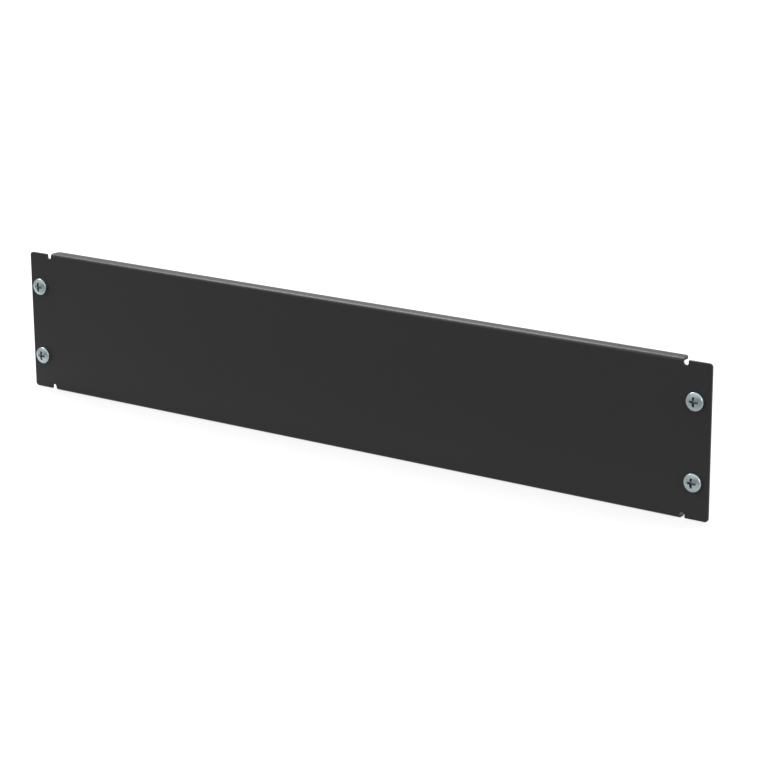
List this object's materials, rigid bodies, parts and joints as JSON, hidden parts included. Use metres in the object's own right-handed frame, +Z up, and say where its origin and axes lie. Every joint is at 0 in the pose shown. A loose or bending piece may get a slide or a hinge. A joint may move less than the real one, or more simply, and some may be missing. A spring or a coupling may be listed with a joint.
{
  "type": "rack blanking panel",
  "caption": "Flanged blanking panel for a server rack: folded steel sheet with flat ears and bend reliefs, held by cross-recess pan-head screws.",
  "frame": {"origin": "middle of the four-screw pattern, on the panel's rear face where it seats on the rack", "axes": "+X along the panel to the right as seen from the front, +Y to the rear along the screws, +Z up"},
  "size_m": [0.4826, 0.0158, 0.0882],
  "materials": {
    "powder_coat": "satin black powder coat on folded sheet steel",
    "zinc_plate": "bright zinc plated steel"
  },
  "bodies": {
    "root": {"panel": "powder_coat", "screw_left_1": "zinc_plate", "screw_left_2": "zinc_plate", "screw_right_1": "zinc_plate", "screw_right_2": "zinc_plate"}
  },
  "joints": []
}
